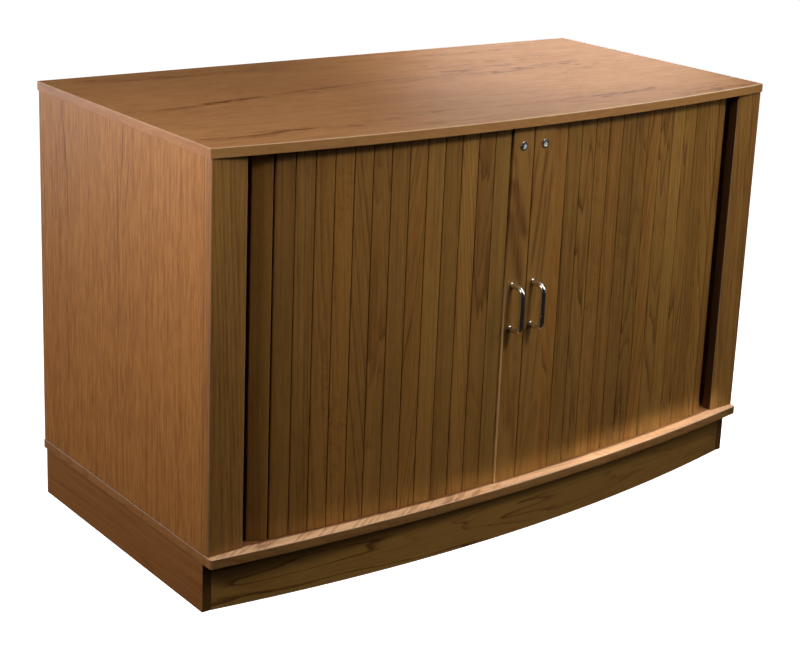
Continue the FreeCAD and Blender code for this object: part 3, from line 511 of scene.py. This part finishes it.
for tag, plan in (("left", LEFT), ("right", RIGHT)):
    for i, figure in enumerate(plan, start=1):
        node = "%s_slat_%02d" % (tag, i)
        # each slat gets a random tone; left_slat_14 is also darkened as painted shade
        tone_and_shade = (1.0 + 0.13 * float(rng.uniform(-1, 1))) * (0.82 if node == "left_slat_14" else 1.0)
        warm = 0.05 * float(rng.uniform(-1, 1))
        tint = (FRONT[0] * tone_and_shade * (1 + warm), FRONT[1] * tone_and_shade * (1 - 0.3 * warm), FRONT[2] * tone_and_shade * (1 - warm))
        frame_of = stick(node)
        bold = 1.15 if tag == "left" else 1.5
        kind = dict(FIGURE[figure], ring=FIGURE[figure]["ring"] * bold, streak=FIGURE[figure]["streak"] * bold)
        give(node, oak("oak_" + node, lambda t, f=frame_of: stick_axes(t, *f), float(rng.uniform(1, 60)), tint=tint,
                       base=(0.29 if tag == "left" else 0.25) + 0.10 * float(rng.uniform(-1, 1)), rough=0.52, coat=0.0, shine=0.22,
                       grain=0.21 if tag == "left" else 0.32, fine=0.38,
                       **kind))
        soften(nodes[node], 0.0006, 2)
    node = tag + "_lead_rail"
    frame_of = stick(node)
    mid_x = frame_of[3][0]
    lines = [(tuple((z - 0.4245, x - mid_x) for z, x in pts), w, v) for pts, w, v in LEAD_LINES[tag]]
    # the left rail gets a painted highlight along its left edge
    give(node, oak("oak_" + node, lambda t, f=frame_of: stick_axes(t, *f), 17.3 if tag == "left" else 31.9,
                   tint=scaled(FRONT, (0.98, 0.98, 1.02)), ka=1.6, kb=24, rings=3.5, slope=40,
                   drift=6.0 if tag == "left" else -9.0, ring=0.26, sharp=2.5, streak=0.20, broad=0.22, base=0.13 if tag == "left" else 0.20, rough=0.52,
                   coat=0.0, shine=0.22, grain=0.12, strokes=lines,
                   edge=(-0.0226, -0.0215, -0.15, 0.20, 0.92) if tag == "left" else None))
    soften(nodes[node], 0.0007, 2)


# ---------------------------------------------------------------- metals, canvas
def metal(name, colour, rough, grime, scale, aniso=0.0):
    t = Tree(name)
    haze = t.noise(t.vmath("MULTIPLY", t.co, (1, 1, 1)), scale, 3.0, 0.6)
    fine = t.noise(t.co, scale * 9.0, 2.0, 0.6)
    spots = t.step(haze, 0.48, 0.78)
    t.set(Base_Color=t.mix(t.mul(spots, grime), colour, scaled(colour, (0.55, 0.48, 0.40))), Metallic=1.0)
    t.set(Roughness=t.add(rough, t.mul(spots, 0.14), t.mul(t.add(fine, -0.5), 0.05)))
    t.bump(t.add(t.mul(haze, 0.6), t.mul(fine, 0.2)), 0.06, 0.0004)
    return t.mat


chrome = metal("chrome", (0.83, 0.82, 0.78), 0.17, 0.20, 130.0)
LOCK = {"left": (-0.0235, 0.711), "right": (0.0235, 0.711)}


def lock_face(tag):
    """Plated lock face, turned very slightly domed."""
    name = "lock_metal_" + tag
    if name in bpy.data.materials:
        return bpy.data.materials[name]
    t = Tree(name)
    rel = t.vmath("SUBTRACT", t.co, (LOCK[tag][0], 0.0, LOCK[tag][1]))
    rel = t.vmath("MULTIPLY", rel, (1.0, 0.0, 1.0))
    haze = t.noise(t.co, 260.0, 3.0, 0.6)
    t.set(Base_Color=t.mix(t.step(haze, 0.45, 0.75), (0.80, 0.77, 0.70), (0.50, 0.43, 0.34)), Metallic=1.0)
    t.set(Roughness=t.add(0.14, t.mul(haze, 0.12)))
    t.bump(t.add(t.mul(t.vmath("DOT_PRODUCT", rel, rel), -10.0), t.mul(haze, 0.00004)), 1.0, 1.0)
    return t.mat


zinc = metal("steel", (0.58, 0.58, 0.56), 0.34, 0.35, 160.0)
for tag in ("left", "right"):
    give(tag + "_pull", chrome)
    give(tag + "_pull_screws", zinc)
    give(tag + "_lock_cylinder", lock_face(tag))
    give(tag + "_lock_plug", lock_face(tag))
    give(tag + "_lock_cam", zinc)
    soften(nodes[tag + "_lock_cylinder"], 0.0005, 3)
    soften(nodes[tag + "_lock_cam"], 0.0004, 2)
give("shelf_pins", zinc)
give("lock_keepers", zinc)
soften(nodes["shelf_pins"], 0.0005, 2)
soften(nodes["lock_keepers"], 0.0004, 2)

t = Tree("canvas")
sep = t.t.nodes.new("ShaderNodeSeparateXYZ")
t.put(sep.inputs[0], t.co)
over = t.math("SINE", t.mul(sep.outputs[0], 2 * math.pi / 0.0016))
under = t.math("SINE", t.mul(sep.outputs[2], 2 * math.pi / 0.0016))
weave = t.add(0.5, t.mul(over, under, 0.5))
slub = t.noise(t.vec(t.mul(sep.outputs[0], 900.0), 0.0, t.mul(sep.outputs[2], 40.0)), 1.0, 3.0, 0.6)
t.set(Base_Color=t.ramp(t.add(t.mul(weave, 0.5), t.mul(slub, 0.5)), [(0.2, (0.30, 0.24, 0.16)), (0.8, (0.58, 0.50, 0.37))]), Roughness=0.92,
      Sheen_Weight=0.25)
t.bump(t.add(weave, t.mul(slub, 0.6)), 0.4, 0.0004)
for tag in ("left", "right"):
    give(tag + "_canvas", t.mat)


# ---------------------------------------------------------------- fasteners in the back panel
def screw_mesh(bm, centre, turn):
    """A countersunk screw head with a cross recess, facing +Y."""
    seg, rad = 24, 0.0038
    rings = [(rad, 0.00005), (rad * 0.97, 0.00030), (rad * 0.80, 0.00055), (rad * 0.55, 0.00070)]
    loops = []
    for r, h in rings:
        loops.append([bm.verts.new((centre[0] + r * math.cos(2 * math.pi * i / seg), centre[1] + h,
                                    centre[2] + r * math.sin(2 * math.pi * i / seg))) for i in range(seg)])
    for lo, hi in zip(loops, loops[1:]):
        for i in range(seg):
            bm.faces.new((lo[i], hi[i], hi[(i + 1) % seg], lo[(i + 1) % seg]))
    # cross recess: arms cut down into the head
    half, deep = 0.00055, -0.0006
    inner = loops[-1]
    pts = []
    arm = rad * 0.46
    for q in range(4):
        ang = turn + q * math.pi / 2
        ca, sa = math.cos(ang), math.sin(ang)
        for (u, v) in ((arm, -half), (arm, half), (half, half)):
            pts.append((centre[0] + u * ca - v * sa, centre[2] + u * sa + v * ca))
    top = [bm.verts.new((x, centre[1] + 0.00070, z)) for x, z in pts]
    low = [bm.verts.new((x, centre[1] + deep, z)) for x, z in pts]
    for i in range(12):
        j = (i + 1) % 12
        bm.faces.new((top[i], low[i], low[j], top[j]))
    bm.faces.new(low)
    angle = lambda v: math.atan2(v.co.z - centre[2], v.co.x - centre[0])
    # bridge between the ring and the cross outline, walking round both by angle
    A = sorted(inner, key=angle)
    B = sorted(top, key=angle)
    i = j = 0
    na, nb = len(A), len(B)
    while i < na or j < nb:
        ai, bj = A[i % na], B[j % nb]
        an = angle(A[(i + 1) % na]) + (2 * math.pi if i + 1 >= na else 0)
        bn = angle(B[(j + 1) % nb]) + (2 * math.pi if j + 1 >= nb else 0)
        if j >= nb or (i < na and an <= bn):
            bm.faces.new((ai, bj, A[(i + 1) % na]))
            i += 1
        else:
            bm.faces.new((ai, bj, B[(j + 1) % nb]))
            j += 1


back_lo, back_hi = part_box("back_panel")
bm = bmesh.new()
spots = [(x, z) for x in np.linspace(back_lo.x + 0.02, back_hi.x - 0.02, 7) for z in (back_lo.z + 0.010, back_hi.z - 0.010)]
spots += [(x, z) for x in (back_lo.x + 0.010, back_hi.x - 0.010) for z in np.linspace(back_lo.z + 0.12, back_hi.z - 0.12, 4)]
for k, (x, z) in enumerate(spots):
    screw_mesh(bm, (float(x), back_hi.y, float(z)), 0.7 * k)
bmesh.ops.recalc_face_normals(bm, faces=bm.faces)
me = bpy.data.meshes.new("back_screws")
bm.to_mesh(me)
bm.free()
for p in me.polygons:
    p.use_smooth = True
screws = bpy.data.objects.new("back_screws", me)
scene.collection.objects.link(screws)
me.materials.append(zinc)
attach(screws, "carcass")

# ---------------------------------------------------------------- floor
t = Tree("floor")
speck = t.noise(t.co, 3.0, 3.0, 0.6)
t.set(Base_Color=t.ramp(speck, [(0.3, (0.86, 0.86, 0.86)), (0.7, (0.90, 0.90, 0.90))]), Roughness=0.9,
      Emission_Color=(1.0, 1.0, 1.0, 1.0), Emission_Strength=1.0)
bm = bmesh.new()
RAD, SEG = 16.0, 96
profile = [(0.0, 0.0)] + [(RAD * s, 0.0) for s in (0.1, 0.25, 0.5, 0.7)]
profile += [(RAD * 0.7 + 4.0 * math.sin(a), 4.0 - 4.0 * math.cos(a)) for a in np.linspace(0.1, math.pi / 2, 12)]
profile += [(RAD * 0.7 + 4.0, 9.0)]
prev = None
for r, z in profile:
    if r == 0.0:
        prev = [bm.verts.new((0, 0, 0))]
        continue
    loop = [bm.verts.new((r * math.cos(2 * math.pi * i / SEG), r * math.sin(2 * math.pi * i / SEG), z)) for i in range(SEG)]
    for i in range(SEG):
        j = (i + 1) % SEG
        if len(prev) == 1:
            bm.faces.new((prev[0], loop[i], loop[j]))
        else:
            bm.faces.new((prev[i], loop[i], loop[j], prev[j]))
    prev = loop
me = bpy.data.meshes.new("floor")
bm.to_mesh(me)
bm.free()
for p in me.polygons:
    p.use_smooth = True
floor = bpy.data.objects.new("floor", me)
scene.collection.objects.link(floor)
me.materials.append(t.mat)
floor.visible_diffuse = False
floor.visible_glossy = False

# ---------------------------------------------------------------- light
LIGHTS = [
    # name, place, aim, width, height, watts, colour
    ("left_side", (-1.35, -0.30, 1.15), (-0.6, -0.05, 0.45), 0.4, 0.4, 7.2, (1.0, 1.0, 1.0)),
    ("left_back", (-1.7, 1.9, 0.75), (-0.6, 0.1, 0.6), 0.8, 0.8, 20.0, (1.0, 1.0, 1.0)),
    ("front_key", (0.24, -1.38, 1.76), (0.05, -0.27, 0.4), 0.35, 0.35, 14.0, (1.0, 1.0, 1.0)),
    ("front_right", (1.8, -2.2, 1.8), (0.2, -0.2, 0.4), 1.2, 1.2, 17.5, (1.0, 1.0, 1.0)),
    ("front_steep", (0.5, -0.9, 2.6), (0.3, -0.25, 0.1), 1.2, 0.8, 14.4, (1.0, 1.0, 1.0)),
    ("right_high", (1.5, 0.2, 2.4), (0.3, 0.0, 0.76), 0.8, 0.8, 6.0, (1.0, 1.0, 1.0)),
    ("window", (2.66, 2.46, 1.05), (0.4, 0.2, 0.76), 1.2, 0.45, 8.5, (1.0, 1.0, 1.0)),
    ("card", (0.84, -1.12, 0.40), (0.0, -0.28, 0.71), 0.18, 0.18, 0.16, (1.0, 1.0, 1.0)),
]
for name, place, aim, wide, high, watts, colour in LIGHTS:
    data = bpy.data.lights.new(name, "AREA")
    data.shape, data.size, data.size_y = "RECTANGLE", wide, high
    data.energy, data.color = watts, colour
    lamp = bpy.data.objects.new(name, data)
    lamp.visible_camera = False
    scene.collection.objects.link(lamp)
    lamp.location = place
    lamp.rotation_euler = (Vector(aim) - Vector(place)).to_track_quat("-Z", "Y").to_euler()

# narrow strips of light along the ledge and the feet of the slats
for x, wide, watts in ((-0.30, 0.30, 0.004), (0.0, 0.30, 0.011), (0.30, 0.30, 0.027), (0.51, 0.12, 0.009)):
    out = Vector((x / 4.228, -math.sqrt(1.0 - (x / 4.228) ** 2), 0.0))
    foot = Vector((0.0, 3.9465, 0.0)) + out * 4.228
    data = bpy.data.lights.new("strip", "AREA")
    data.shape, data.size, data.size_y = "RECTANGLE", wide, 0.02
    data.energy, data.spread = watts, math.radians(7.0)
    lamp = bpy.data.objects.new("strip", data)
    lamp.visible_camera = False
    scene.collection.objects.link(lamp)
    lamp.location = foot + out * 0.345 + Vector((0, 0, 0.460))
    aim = foot + out * 0.004 + Vector((0, 0, 0.112))
    lamp.rotation_euler = (aim - lamp.location).to_track_quat("-Z", "Y").to_euler()

# a soft pool of light on the far right of the top
data = bpy.data.lights.new("pool", "SPOT")
data.energy, data.color, data.shadow_soft_size = 80.0, (1.0, 1.0, 1.0), 0.10
data.spot_size, data.spot_blend = math.radians(40.0), 1.0
lamp = bpy.data.objects.new("pool", data)
lamp.visible_camera = False
scene.collection.objects.link(lamp)
lamp.location = (0.85, 0.45, 2.10)
lamp.rotation_euler = (Vector((0.42, 0.16, 0.762)) - lamp.location).to_track_quat("-Z", "Y").to_euler()

world = bpy.data.worlds.new("studio")
world.use_nodes = True
world.node_tree.nodes["Background"].inputs["Color"].default_value = (1.0, 1.0, 1.0, 1.0)
world.node_tree.nodes["Background"].inputs["Strength"].default_value = 0.01
scene.world = world
scene.view_settings.view_transform = "Standard"

# ---------------------------------------------------------------- camera
az, el, roll = (math.radians(v) for v in (-40.8516, 15.1492, 3.1498))
back = Vector((math.sin(az) * math.cos(el), -math.cos(az) * math.cos(el), math.sin(el)))
x0 = Vector((0, 0, 1)).cross(back).normalized()
y0 = back.cross(x0)
xr = x0 * math.cos(roll) + y0 * math.sin(roll)
yr = y0 * math.cos(roll) - x0 * math.sin(roll)
eye = Vector((0.199727, 0.0475, 0.472920)) + back * 3.252519
cam_data = bpy.data.cameras.new("camera")
cam_data.sensor_fit, cam_data.sensor_width = "HORIZONTAL", 36.0
cam_data.lens = 1673.697 / 800.0 * 36.0
cam_data.shift_x, cam_data.shift_y = -0.114682, -0.131833
cam_data.clip_start, cam_data.clip_end = 0.05, 100.0
cam = bpy.data.objects.new("camera", cam_data)
scene.collection.objects.link(cam)
m = Matrix((xr, yr, back)).transposed().to_4x4()
m.translation = eye
cam.matrix_world = m
scene.camera = cam
